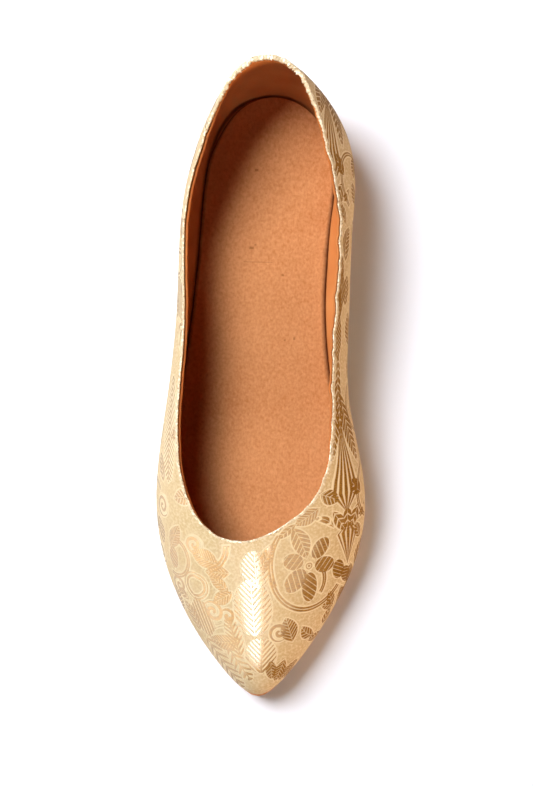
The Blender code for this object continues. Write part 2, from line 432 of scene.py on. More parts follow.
class Nodes:
    """Builds one node tree."""

    def __init__(self, tree: bpy.types.NodeTree) -> None:
        """Wraps a node tree."""
        self.tree = tree

    def add(
        self, kind: str, settings: dict[str, Any] | None = None, inputs: dict[Any, Any] | None = None
    ) -> bpy.types.Node:
        """Adds a node.

        Args:
            kind: The node's type.
            settings: Its properties.
            inputs: Its sockets by name or number, each a number, a colour, a socket or a Value.

        Returns:
            The node.
        """
        node = self.tree.nodes.new(kind)
        for name, value in (settings or {}).items():
            setattr(node, name, value)
        self.feed(node, inputs or {})
        return node

    def feed(self, node: bpy.types.Node, inputs: dict[Any, Any]) -> None:
        """Sets or links a node's sockets.

        Args:
            node: The node.
            inputs: Its sockets by name or number, each a number, a colour, a socket or a Value.
        """
        for name, value in inputs.items():
            if isinstance(value, Value):
                value = value.socket
            if isinstance(value, bpy.types.NodeSocket):
                self.tree.links.new(value, node.inputs[name])
            else:
                node.inputs[name].default_value = value

    def value(self, node: bpy.types.Node, output: Any = 0) -> Value:
        """One output of a node as a Value."""
        return Value(self, node.outputs[output])

    def place(self) -> bpy.types.NodeSocket:
        """The place on the piece, in metres."""
        return self.add("ShaderNodeTexCoord").outputs["Object"]

    def split(self, vector: bpy.types.NodeSocket) -> list[Value]:
        """A vector's three parts."""
        parts = self.add("ShaderNodeSeparateXYZ", {}, {"Vector": vector})
        return [Value(self, part) for part in parts.outputs]

    def noise(self, vector: bpy.types.NodeSocket, grain: Grain) -> Value:
        """Noise on a vector, as a Value round 0.5.

        Args:
            vector: The place.
            grain: The noise's size and direction.

        Returns:
            The noise.
        """
        if grain.grow is not None:
            vector = self.add("ShaderNodeMapping", {}, {"Vector": vector, "Scale": grain.grow}).outputs[0]
        inputs = {"Vector": vector, "Scale": grain.cells, "Detail": grain.octaves}
        return self.value(self.add("ShaderNodeTexNoise", {}, inputs))

    def mix(self, factor: Number, first: Any, second: Any) -> bpy.types.NodeSocket:
        """Mixes two colours."""
        inputs = {0: factor, 6: first, 7: second}
        return self.add("ShaderNodeMix", {"data_type": "RGBA"}, inputs).outputs[2]

    def bump(self, height: Value, relief: Relief) -> bpy.types.NodeSocket:
        """A normal from a height."""
        inputs = {"Height": height, "Distance": relief.distance, "Strength": relief.strength}
        return self.add("ShaderNodeBump", {}, inputs).outputs[0]


def shade_of(red: float, green: float, blue: float) -> Colour:
    """A linear colour from display values of 0 to 255.

    Args:
        red: The red part.
        green: The green part.
        blue: The blue part.

    Returns:
        The colour, opaque.
    """
    linear = []
    for part in (red, green, blue):
        share = part / 255
        linear.append(share / 12.92 if share <= 0.04045 else ((share + 0.055) / 1.055) ** 2.4)
    return (*linear, 1.0)


class Finish:
    """A finish that makes its own material once."""

    name: str = "finish"

    def material(self) -> bpy.types.Material:
        """Makes the finish's material at its first use.

        Returns:
            The material.
        """
        found = bpy.data.materials.get(self.name)
        if found is not None:
            return found
        made = bpy.data.materials.new(self.name)
        made.use_nodes = True
        made.node_tree.nodes.clear()
        nodes = Nodes(made.node_tree)
        shader = nodes.add("ShaderNodeBsdfPrincipled")
        nodes.add("ShaderNodeOutputMaterial", {}, {"Surface": shader.outputs[0]})
        self.paint(nodes, shader)
        return made

    def paint(self, nodes: Nodes, shader: bpy.types.Node) -> None:
        """Adds the finish's nodes and feeds its shader.

        Args:
            nodes: Adds nodes to the material.
            shader: The material's shader.
        """
        raise NotImplementedError


@dataclass(frozen=True)
class SoleRubber(Finish):
    """Matt tan crepe rubber, clouded and finely grained."""

    name: str = "crepe_rubber"
    colour: Colour = shade_of(206, 146, 89)
    deep: Colour = shade_of(190, 124, 70)
    clouds: Grain = Grain(60.0, 3.0)
    cloud_grade: Grade = (2.0, -0.7)
    grain: Grain = Grain(1800.0, 2.0)
    relief: Relief = Relief(0.00008, 0.6)
    roughness: Grade = (0.2, 0.52)

    def paint(self, nodes: Nodes, shader: bpy.types.Node) -> None:
        """Mottled tan with a fine grain.

        Args:
            nodes: Adds nodes to the material.
            shader: The material's shader.
        """
        place = nodes.place()
        clouds = nodes.noise(place, self.clouds)
        grain = nodes.noise(place, self.grain)
        nodes.feed(shader, {
            "Base Color": nodes.mix(clouds.graded(self.cloud_grade), self.deep, self.colour),
            "Roughness": grain.scaled(*self.roughness),
            "Normal": nodes.bump(grain, self.relief),
        })


@dataclass(frozen=True)
class InsoleSuede(Finish):
    """Tan suede: a soft nap of fine short fibres over clouds, with a few nicks and a dark line of painted
    shade along its edge, where it meets the lining.

    Each nick is its middle across and along the shoe and its half width and half length, in millimetres.
    The mesh's "rim" attribute is 1 at the sheet's edge, where the shade of the crease against the lining is
    painted.
    """

    name: str = "napped_suede"
    colour: Colour = shade_of(206, 144, 96)
    dark: Colour = shade_of(174, 110, 66)
    worn: Colour = shade_of(96, 52, 26)
    # Painted shade: the dark crease where the sock's edge meets the lining.
    crease_shade: Colour = shade_of(64, 24, 8)
    clouds: Grain = Grain(26.0, 3.0)
    nap: Grain = Grain(780.0, 3.0)
    fibres: Grain = Grain(1300.0, 2.0, (1.0, 0.6, 1.0))
    tone_grade: Grade = (2.7, -0.93)
    nick_grade: Grade = (2.5, 0.4)
    nick_strength: float = 0.5
    crease_shade_grade: Grade = (8.0, -7.0)
    relief: Relief = Relief(0.00030, 0.8)
    roughness: Grade = (0.15, 0.78)
    sheen: Colour = shade_of(255, 210, 170)
    sheen_weight: float = 0.05
    sheen_roughness: float = 0.5
    nicks: tuple[tuple[float, float, float, float], ...] = (
        (6.1, -56.1, 0.9, 0.5),
        (4.6, -57.4, 0.4, 0.3),
        (-6.7, -45.5, 0.5, 0.4),
        (3.3, -50.5, 5.8, 0.12),
        (-11.9, -20.2, 0.4, 0.5),
        (-8.1, -19.5, 0.4, 0.3),
        (4.9, -87.4, 0.7, 0.5),
    )

    def paint(self, nodes: Nodes, shader: bpy.types.Node) -> None:
        """Fibres over clouds, the nicks and painted shade at the edge.

        Args:
            nodes: Adds nodes to the material.
            shader: The material's shader.
        """
        place = nodes.place()
        clouds = nodes.noise(place, self.clouds)
        nap = nodes.noise(place, self.nap)
        fibres = nodes.noise(place, self.fibres)
        tone = clouds * 0.35 + nap * 0.40 + fibres * 0.40
        colour = nodes.mix(tone.graded(self.tone_grade), self.dark, self.colour)
        across, along = (part / MM for part in nodes.split(place)[:2])
        nicked = deepest(
            line(across - x, half_width).lower(line(along - y, half_length))
            for x, y, half_width, half_length in self.nicks
        )
        colour = nodes.mix(nicked.graded(self.nick_grade) * self.nick_strength, colour, self.worn)
        # Painted shade: the sock's edge is darkened where it meets the lining, standing in for the crease's
        # shadow.
        rim = nodes.value(nodes.add("ShaderNodeAttribute", {"attribute_name": "rim"}), "Fac")
        nodes.feed(shader, {
            "Base Color": nodes.mix(rim.graded(self.crease_shade_grade), colour, self.crease_shade),
            "Roughness": nap.scaled(*self.roughness),
            "Normal": nodes.bump(nap * 0.6 + fibres * 0.4, self.relief),
            "Specular IOR Level": 0.0,
            "Sheen Weight": self.sheen_weight,
            "Sheen Roughness": self.sheen_roughness,
            "Sheen Tint": self.sheen,
        })


@dataclass(frozen=True)
class LiningLeather(Finish):
    """Chestnut lining leather, smooth with a faint grain."""

    name: str = "lining_leather"
    colour: Colour = shade_of(200, 128, 72)
    dark: Colour = shade_of(172, 96, 46)
    clouds: Grain = Grain(45.0, 3.0)
    cloud_grade: Grade = (2.0, -0.5)
    pores: Grain = Grain(1100.0, 2.0)
    relief: Relief = Relief(0.00010, 0.5)
    roughness: Grade = (0.2, 0.45)
    specular: float = 0.1

    def paint(self, nodes: Nodes, shader: bpy.types.Node) -> None:
        """Clouded brown with a pebble grain.

        Args:
            nodes: Adds nodes to the material.
            shader: The material's shader.
        """
        place = nodes.place()
        clouds = nodes.noise(place, self.clouds)
        pores = nodes.noise(place, self.pores)
        nodes.feed(shader, {
            "Base Color": nodes.mix(clouds.graded(self.cloud_grade), self.dark, self.colour),
            "Roughness": pores.scaled(*self.roughness),
            "Normal": nodes.bump(pores, self.relief),
            "Specular IOR Level": self.specular,
        })


@dataclass(frozen=True)
class FoldedBrocade(Finish):
    """The same cloth seen across its folded edge: bright cream and silver with dark thread ends."""

    name: str = "folded_brocade"
    cream: Colour = shade_of(204, 184, 150)
    bright: Colour = shade_of(238, 228, 208)
    shadow: Colour = shade_of(128, 98, 64)
    flecks: Grain = Grain(720.0, 2.0)
    bright_grade: Grade = (7.0, -3.5)
    ends: Grain = Grain(1150.0, 2.0)
    dark_grade: Grade = (8.0, -4.7)
    metallic: float = 0.35
    roughness: Grade = (-0.12, 0.42)
    relief: Relief = Relief(0.0003, 0.8)

    def paint(self, nodes: Nodes, shader: bpy.types.Node) -> None:
        """Flecks of bright and dark thread.

        Args:
            nodes: Adds nodes to the material.
            shader: The material's shader.
        """
        place = nodes.place()
        flecks = nodes.noise(place, self.flecks)
        ends = nodes.noise(place, self.ends)
        bright = flecks.graded(self.bright_grade)
        cloth = nodes.mix(bright, self.cream, self.bright)
        nodes.feed(shader, {
            "Base Color": nodes.mix(ends.graded(self.dark_grade), cloth, self.shadow),
            "Metallic": bright * self.metallic,
            "Roughness": bright.scaled(*self.roughness),
            "Normal": nodes.bump(flecks + ends, self.relief),
        })


@dataclass(frozen=True)
class StudioPaper(Finish):
    """Plain paper under the shoe, almost white with a touch of blue."""

    name: str = "studio_paper"
    colour: Colour = (0.85, 0.875, 0.97, 1)
    roughness: float = 0.9

    def paint(self, nodes: Nodes, shader: bpy.types.Node) -> None:
        """Matt.

        Args:
            nodes: Adds nodes to the material.
            shader: The material's shader.
        """
        nodes.feed(shader, {"Base Color": self.colour, "Roughness": self.roughness})


# ---------------------------------------------------------------- the woven figures


@dataclass(frozen=True)
class Figure:
    """A woven figure on the flat cloth, in millimetres.

    Its foot is at (x, y) from the middle of the throat, outwards and towards the toe, and its axis turns
    from the toe's direction towards the outer side by a number of degrees. It is drawn as a depth: how far
    a place is inside the figure's gold, which is below zero outside it.
    """

    x: float
    y: float
    turn: float

    def depth(self, across: Value, along: Value) -> Value:
        """How far a place is inside the gold.

        Args:
            across: How far the place is across the axis.
            along: How far it is along the axis.

        Returns:
            The depth.
        """
        raise NotImplementedError


def line(distance: Value, half: float) -> Value:
    """Depth in a line of half a width, from the distance to its middle."""
    return half - abs(distance)


def threads(run: Value, pitch: float, share: float) -> Value:
    """Depth in gold threads side by side, which take a share of their pitch."""
    return share * pitch / 2 - run.math("PINGPONG", pitch / 2)


@dataclass(frozen=True)
class Leaf(Figure):
    """A gold leaf crossed by bare lines that slant from its vein, or a blunt petal crossed straight."""

    length: float
    width: float
    bend: float = 0.0
    slant: float = 0.9
    comb: float = 2.0
    blunt: bool = False
    vein: ClassVar[float] = 0.16
    gold_share: ClassVar[float] = 0.72
    blunt_share: ClassVar[float] = 0.8

    def depth(self, across: Value, along: Value) -> Value:
        """The gold between the comb lines.

        Args:
            across: How far the place is across the axis.
            along: How far it is along the axis.

        Returns:
            The depth.
        """
        share = along * (1 / self.length)
        bulge = share * (1 - share)
        if self.bend:
            across = bulge.scaled(-4 * self.bend, across)
        side = abs(across)
        half = bulge.math("SQRT") * self.width if self.blunt else bulge * (2 * self.width)
        room = (half - side).lower(bulge * self.length)
        if self.blunt:
            return room.lower(threads(across.scaled(self.slant, along), self.comb, self.blunt_share))
        gold = threads(side.scaled(self.slant, along), self.comb, self.gold_share)
        return room.lower(side - self.vein).lower(gold)


@dataclass(frozen=True)
class Stripes(Figure):
    """A pointed patch of straight lines along its axis."""

    length: float
    width: float
    thread: ClassVar[float] = 1.6
    gold_share: ClassVar[float] = 0.58

    def depth(self, across: Value, along: Value) -> Value:
        """The lines.

        Args:
            across: How far the place is across the axis.
            along: How far it is along the axis.

        Returns:
            The depth.
        """
        share = along * (1 / self.length)
        room = share * (1 - share) * (3 * self.width) - abs(across)
        ends = (along.lower(self.length - along)).lower(self.width / 2 - abs(across))
        return room.lower(ends).lower(threads(across, self.thread, self.gold_share))


@dataclass(frozen=True)
class Sheaf(Figure):
    """Lines that part from its foot and meet again at its tip, widest apart at a share of its length."""

    length: float
    width: float
    lines: int
    widest: float
    pinch: ClassVar[float] = 0.06
    gold_share: ClassVar[float] = 0.56

    def depth(self, across: Value, along: Value) -> Value:
        """The lines.

        Args:
            across: How far the place is across the axis.
            along: How far it is along the axis.

        Returns:
            The depth.
        """
        share = along * (1 / self.length)
        swell = (share / self.widest).lower((1 - share) / (1 - self.widest)).higher(self.pinch)
        spread = across / swell
        lines = threads(spread, self.width / self.lines, self.gold_share) * swell
        inside = (self.width / 2 - abs(spread)) * swell
        return lines.lower(inside).lower(along.lower(self.length - along))


@dataclass(frozen=True)
class Curl(Figure):
    """A coiled tendril. Its foot is its middle."""

    radius: float
    pitch: float = 2.8
    width: float = 1.2

    def depth(self, across: Value, along: Value) -> Value:
        """The coil.

        Args:
            across: How far the place is across the axis.
            along: How far it is along the axis.

        Returns:
            The depth.
        """
        reach, angle = across.polar(along)
        coil = angle.scaled(self.pitch / TURN, reach).math("PINGPONG", self.pitch / 2)
        return (coil - (self.pitch - self.width) / 2).lower(self.radius - reach)


@dataclass(frozen=True)
class Stem(Figure):
    """A stretch of a round stem with a bare core. Its foot is the circle's middle."""

    radius: float
    reach: float
    width: float = 1.9
    core: float = 0.5

    def depth(self, across: Value, along: Value) -> Value:
        """The stem, as far as an angle in degrees to either side of its axis.

        Args:
            across: How far the place is across the axis.
            along: How far it is along the axis.

        Returns:
            The depth.
        """
        away = across.polar(along)[0]
        off = abs(away - self.radius)
        stem = (self.width / 2 - off).lower(off - self.core / 2)
        return stem.lower(away.scaled(-math.cos(math.radians(self.reach)), along))


@dataclass(frozen=True)
class Heart(Figure):
    """A heart in a double outline round rings. Its foot is its middle and its point is along its axis."""

    radius: float
    pitch: float = 1.7
    dent: ClassVar[float] = 0.45
    outlines: ClassVar[float] = 1.3
    gold_share: ClassVar[float] = 0.5

    def depth(self, across: Value, along: Value) -> Value:
        """The outlines.

        Args:
            across: How far the place is across the axis.
            along: How far it is along the axis.

        Returns:
            The depth.
        """
        reach, angle = across.polar(along)
        edge = abs(angle).scaled(-self.dent * self.radius / math.pi, self.radius)
        inside = edge - reach
        outline = threads(inside, self.pitch, self.gold_share).lower(self.outlines * self.pitch - inside)
        return outline.lower(inside)


@dataclass(frozen=True)
class Plume(Figure):
    """A spine with pairs of slim leaflets that lean towards its tip."""

    length: float
    width: float
    pitch: float
    lean: float = 1.1
    spine: ClassVar[float] = 0.22
    gap: ClassVar[float] = 0.4
    foot: ClassVar[float] = 0.28
    taper: ClassVar[float] = 0.30

    def depth(self, across: Value, along: Value) -> Value:
        """The leaflets and the spine.

        Args:
            across: How far the place is across the axis.
            along: How far it is along the axis.

        Returns:
            The depth.
        """
        side = abs(across)
        share = along * (1 / self.length)
        bulge = share * (1 - share)
        room = (bulge.math("SQRT") * self.width - side).lower(bulge * self.length)
        place = side.scaled(-self.lean, along).math("PINGPONG", self.pitch / 2)
        half = side.scaled(-self.taper * self.pitch / self.width, self.foot * self.pitch)
        leaflet = (half - place).lower(side - self.gap)
        return leaflet.higher(self.spine - side).lower(room)


FLOWER = (
    Leaf(-24.8, 10.6, 106, 8.2, 6.6, blunt=True, slant=0.5, comb=2.3),
    Leaf(-25.2, 13.8, 48, 11.0, 7.4, blunt=True, slant=0.6, comb=2.5),
    Leaf(-27.4, 15.4, 4, 12.6, 6.6, blunt=True, slant=0.9, comb=2.6),
    Leaf(-29.8, 12.8, -80, 9.0, 6.8, blunt=True, slant=0.6, comb=2.3),
    Leaf(-29.4, 9.6, -140, 9.6, 6.2, blunt=True, slant=0.6, comb=2.3),
    Leaf(-26.4, 9.0, 161, 14.6, 7.0, bend=0.6, comb=2.2),
    Heart(-27.2, 12.2, 0, 1.7, pitch=1.2),
)
VINE = (
    Stem(-28.5, 14.5, 20, 17.0, 69),
    Stem(-36.0, 12.0, 100, 24.5, 25),
    Stem(-24.5, 19.5, -88, 9.6, 36, width=1.6, core=0.3),
    Leaf(-14.2, 0.2, 32, 16.0, 4.6, comb=1.6),
    Leaf(-15.5, -1.0, -125, 9.0, 3.4),
    Leaf(-22.5, -5.6, -118, 11.5, 6.4, comb=1.5),
    Leaf(-30.5, -6.8, -57, 9.6, 2.6, bend=-1.4, comb=5.0),
    Leaf(-36.6, 26.8, -16, 9.5, 4.6),
    Leaf(-32.6, 32.6, -66, 8.5, 3.8),
    Leaf(-38.5, 36.0, 28, 9.5, 4.8),
    Leaf(-15.6, 32.0, -10, 12.0, 7.4, comb=1.6),
    Curl(-12.2, 37.6, 20, 4.0),
    Leaf(-22.5, 38.5, -40, 10.0, 5.0, bend=1.2),
    Leaf(-25.5, 47.5, -80, 10.0, 4.4),
    Leaf(-8.0, 60.5, -150, 11.0, 5.4, comb=1.5),
    Leaf(-9.5, 61.5, -120, 13.0, 5.0, comb=1.5),
    Leaf(-6.8, 58.5, -176, 9.5, 4.4, comb=1.5),
    Leaf(-12.0, 63.0, -98, 12.0, 4.0, comb=1.5),
)
VAMP_MIDDLE = (
    Plume(-5.4, 18.0, 181, 14.5, 11.0, pitch=2.2),
    Plume(-2.4, 37.5, 182, 23.0, 15.0, pitch=2.3),
    Plume(-3.0, 54.0, 186, 15.5, 12.5, pitch=2.2),
    Plume(4.6, 46.0, 168, 17.0, 7.0, pitch=2.2),
)
OUTER_VAMP = (
    Stem(15.0, 1.2, -49, 9.6, 40, width=2.2, core=0.6),
    Curl(18.8, 0.2, -30, 3.8),
    Leaf(20.5, 2.8, -62, 13.0, 7.4, comb=1.2),
    Leaf(15.5, 11.2, -86, 10.5, 5.4, comb=1.4),
    Leaf(13.8, 12.6, -48, 10.0, 4.8, comb=1.4),
    Heart(20.8, 16.6, 20, 7.6),
    Leaf(14.0, 24.4, -118, 10.5, 5.4, comb=1.4),
    Stripes(22.6, 23.0, -14, 18.0, 9.0),
    Curl(14.6, 28.2, 160, 4.6, pitch=3.2, width=1.4),
    Curl(8.0, 29.4, 20, 3.2),
    Stem(6.0, 50.0, 156, 16.8, 36, width=0.12, core=0.0),
    Leaf(19.0, 41.0, -98, 16.0, 6.8, bend=1.5, comb=1.5),
    Plume(21.0, 42.0, -36, 26.0, 9.5, pitch=3.6, lean=0.9),
    Plume(9.5, 43.5, -30, 16.0, 7.0, pitch=3.0, lean=0.9),
    Leaf(30.5, 26.0, -24, 15.0, 6.6, bend=-1.2),
    Leaf(33.5, 21.0, -60, 8.0, 4.4),
    Curl(31.5, 19.5, 90, 4.4),
    Stem(31.5, 6.5, -70, 8.6, 96, width=1.6, core=0.4),
    Leaf(31.5, 2.5, 4, 9.5, 5.6, blunt=True),
    Leaf(25.0, -7.0, 38, 13.0, 6.4, comb=1.4),
)
INNER_QUARTER = (
    Sheaf(-45.2, -6.5, 181, 36.0, 15.0, 5, widest=0.22),
    Leaf(-45.2, -34.0, 183, 38.0, 5.2, slant=0.8, comb=2.9),
    Leaf(-39.4, -29.5, 188, 25.0, 5.6, bend=0.8, slant=1.2, comb=2.9),
    Leaf(-55.0, -24.5, 166, 32.0, 7.6, slant=1.2, comb=2.9),
    Leaf(-41.6, -12.2, 118, 9.5, 6.0),
    Leaf(-47.6, -19.0, -44, 10.5, 6.0, comb=2.9),
    Leaf(-44.6, 1.6, 148, 11.5, 4.6, comb=2.9),
    Leaf(-45.5, 1.6, 180, 11.0, 4.4, comb=2.9),
    Leaf(-46.4, 1.6, 212, 11.5, 4.6, comb=2.9),
    Sheaf(-46.4, 17.0, 178, 19.0, 11.0, 4, widest=0.78),
    Leaf(-50.5, -1.5, -128, 10.0, 2.8, bend=1.2, comb=5.0),
    Leaf(-50.2, -0.2, -24, 8.5, 4.6),
    Leaf(-40.4, 13.6, -10, 9.0, 6.0, blunt=True),
    Leaf(-44.0, 18.2, -28, 9.5, 5.6, blunt=True),
    Leaf(-48.5, 18.0, -8, 13.0, 5.4),
    Leaf(-43.5, 28.5, -30, 12.0, 6.0),
    Leaf(-46.8, -67.0, 176, 22.0, 9.0, slant=1.2),
    Leaf(-47.4, -84.0, 190, 20.0, 7.6, slant=1.2),
    Leaf(-49.0, -84.0, 162, 17.5, 7.0, slant=1.2),
)
INNER_SIDE = (
    Stem(-65.0, -12.0, 130, 13.0, 100, width=1.6),
    Leaf(-62.0, -12.0, -40, 12.0, 7.0, bend=1.0),
    Leaf(-64.0, -14.0, 200, 13.0, 6.4, bend=-1.0),
    Curl(-67.5, 8.0, 0, 5.0, pitch=3.2, width=1.5),
    Leaf(-72.5, 3.5, 168, 13.0, 6.6, bend=1.4),
    Leaf(-58.5, 8.0, 20, 15.0, 7.4, bend=1.2),
    Plume(-67.0, 50.0, 178, 34.0, 10.0, pitch=3.4),
    Leaf(-56.0, 27.0, 10, 13.0, 6.2),
    Leaf(-76.5, 20.0, 10, 16.0, 7.0, bend=-1.4),
    Leaf(-57.0, 42.0, -14, 16.0, 7.0, bend=1.2),
    Curl(-76.0, 42.0, 180, 4.8),
    Stem(-64.0, -47.0, 30, 11.0, 120, width=1.6),
    Leaf(-63.0, -53.5, 6, 13.0, 8.0, blunt=True, comb=2.2),
    Leaf(-74.5, -36.0, -20, 13.0, 6.0),
    Curl(-76.5, -14.0, 60, 4.6),
    Leaf(-62.0, -70.0, 16, 13.0, 6.6),
    Leaf(-74.0, -62.0, 160, 15.0, 7.0, bend=1.4),
)
FIELD = (
    Stem(-8.0, -38.0, 60, 13.5, 110),
    Leaf(-8.0, -36.0, 0, 9.5, 6.6, blunt=True, comb=2.2),
    Leaf(-6.4, -38.2, 72, 9.0, 6.4, blunt=True, comb=2.2),
    Leaf(-7.0, -39.8, 144, 9.0, 6.4, blunt=True, comb=2.2),
    Leaf(-9.0, -39.8, -144, 9.0, 6.4, blunt=True, comb=2.2),
    Leaf(-9.6, -38.2, -72, 9.0, 6.4, blunt=True, comb=2.2),
    Leaf(11.0, -30.0, 12, 15.0, 7.4, bend=1.2),
    Leaf(-16.0, -20.0, 132, 12.0, 6.4),
    Curl(16.5, -40.0, 80, 4.8),
    Leaf(12.0, -50.0, 60, 16.0, 7.0, bend=-1.4),
    Plume(26.0, -66.0, 4, 42.0, 10.5, pitch=2.2),
    Curl(-30.0, -52.0, 10, 4.8),
    Leaf(-27.0, -46.0, -20, 16.0, 7.4, bend=1.3),
    Leaf(-33.5, -28.0, 110, 13.0, 6.6),
    Leaf(26.0, -18.0, -100, 12.0, 6.2),
)
BEDS = {
    "flower": FLOWER,
    "vine": VINE,
    "vamp_middle": VAMP_MIDDLE,
    "outer_vamp": OUTER_VAMP,
    "inner_quarter": INNER_QUARTER,
    "inner_side": INNER_SIDE,
    "field": FIELD,
}


class Bed:
    """A group of figures as a node group, which turns a place on the flat cloth into a depth.

    The figures are repeated over the cloth at two distances, in millimetres.
    """

    repeat: ClassVar[tuple[float, float]] = (112.0, 128.0)

    def __init__(self, name: str, figures: tuple[Figure, ...]) -> None:
        """Draws the figures.

        Args:
            name: The group's name.
            figures: The figures.
        """
        self.tree = bpy.data.node_groups.new(name, "ShaderNodeTree")
        self.tree.interface.new_socket("Place", in_out="INPUT", socket_type="NodeSocketVector")
        self.tree.interface.new_socket("Depth", in_out="OUTPUT", socket_type="NodeSocketFloat")
        nodes = Nodes(self.tree)
        x, y = nodes.split(nodes.add("NodeGroupInput").outputs[0])[:2]
        nodes.add("NodeGroupOutput", {}, {0: deepest(self.drawn(figure, x, y) for figure in figures)})

    def drawn(self, figure: Figure, x: Value, y: Value) -> Value:
        """A figure's depth, repeated over the cloth.

        Args:
            figure: The figure.
            x: The place along the cloth's first axis.
            y: The place along its second axis.

        Returns:
            The depth.
        """
        half_x, half_y = self.repeat[0] / 2, self.repeat[1] / 2
        x = x.wrapped(figure.x - half_x, figure.x + half_x)
        y = y.wrapped(figure.y - half_y, figure.y + half_y)
        sine, cosine = math.sin(math.radians(figure.turn)), math.cos(math.radians(figure.turn))
        across = x.scaled(cosine, y.scaled(-sine, figure.y * sine - figure.x * cosine))
        along = x.scaled(sine, y.scaled(cosine, -figure.x * sine - figure.y * cosine))
        return figure.depth(across, along)


@dataclass(frozen=True)
class Brocade(Finish):
    """Cream satin with a woven floral in gold thread, drawn on the flat cloth in millimetres."""

    name: str = "woven_brocade"
    ground: Colour = shade_of(195, 171, 130)
    ground_dark: Colour = shade_of(180, 150, 103)
    rim: Colour = shade_of(217, 199, 163)
    rim_middle: float = 0.45
    rim_half: float = 0.25
    gold: Colour = shade_of(184, 132, 46)
    gold_dark: Colour = shade_of(136, 86, 16)
    soft: float = 0.16
    slub: Grain = Grain(1.0, 2.0, (2.6, 0.55, 1.0))
    cross: Grain = Grain(1.0, 2.0, (0.6, 2.6, 1.0))
    ribs: Grain = Grain(1.0, 2.0, (1.1, 0.10, 1.0))
    clouds: Grain = Grain(0.08, 2.0)
    flecks: Grain = Grain(0.9, 3.0)
    ground_grade: Grade = (2.6, -1.2)
    fleck_grade: Grade = (3.0, -1.3)
    gold_grade: Grade = (3.0, -1.0)
    relief: Relief = Relief(0.00016, 0.6)
    metallic: float = 0.36
    roughness: Grade = (-0.16, 0.46)
    coat_roughness: float = 0.2
    coat_ior: float = 2.4

    def paint(self, nodes: Nodes, shader: bpy.types.Node) -> None:
        """Satin between the figures, metal thread on them and a pale thread round them.

        Args:
            nodes: Adds nodes to the material.
            shader: The material's shader.
        """
        cloth = nodes.add("ShaderNodeUVMap", {"uv_map": "cloth"}).outputs[0]
        slub = nodes.noise(cloth, self.slub)
        cross = nodes.noise(cloth, self.cross)
        ribs = nodes.noise(cloth, self.ribs)
        clouds = nodes.noise(cloth, self.clouds)
        flecks = nodes.noise(cloth, self.flecks)
        depth = deepest(
            nodes.value(nodes.add("ShaderNodeGroup", {"node_tree": Bed(name, figures).tree}, {0: cloth}))
            for name, figures in BEDS.items()
        )
        inside = (1 / self.soft, 0.5)
        gold = depth.graded(inside)
        rim = line(depth + self.rim_middle, self.rim_half).graded(inside)
        tone = slub * 0.4 + ribs * 0.5 + clouds * 0.4
        ground = nodes.mix(tone.graded(self.ground_grade), self.ground_dark, self.ground)
        ground = nodes.mix(flecks.graded(self.fleck_grade), ground, self.rim)
        ground = nodes.mix(rim, ground, self.rim)
        metal = nodes.mix(cross.graded(self.gold_grade), self.gold_dark, self.gold)
        height = gold.scaled(0.35, rim * 0.7) + slub * 0.3 + cross * 0.25
        nodes.feed(shader, {
            "Base Color": nodes.mix(gold, ground, metal),
            "Metallic": gold * self.metallic,
            "Roughness": gold.scaled(*self.roughness),
            "Coat Weight": gold,
            "Coat Roughness": self.coat_roughness,
            "Coat IOR": self.coat_ior,
            "Normal": nodes.bump(height, self.relief),
        })


# ---------------------------------------------------------------- the upper's edge


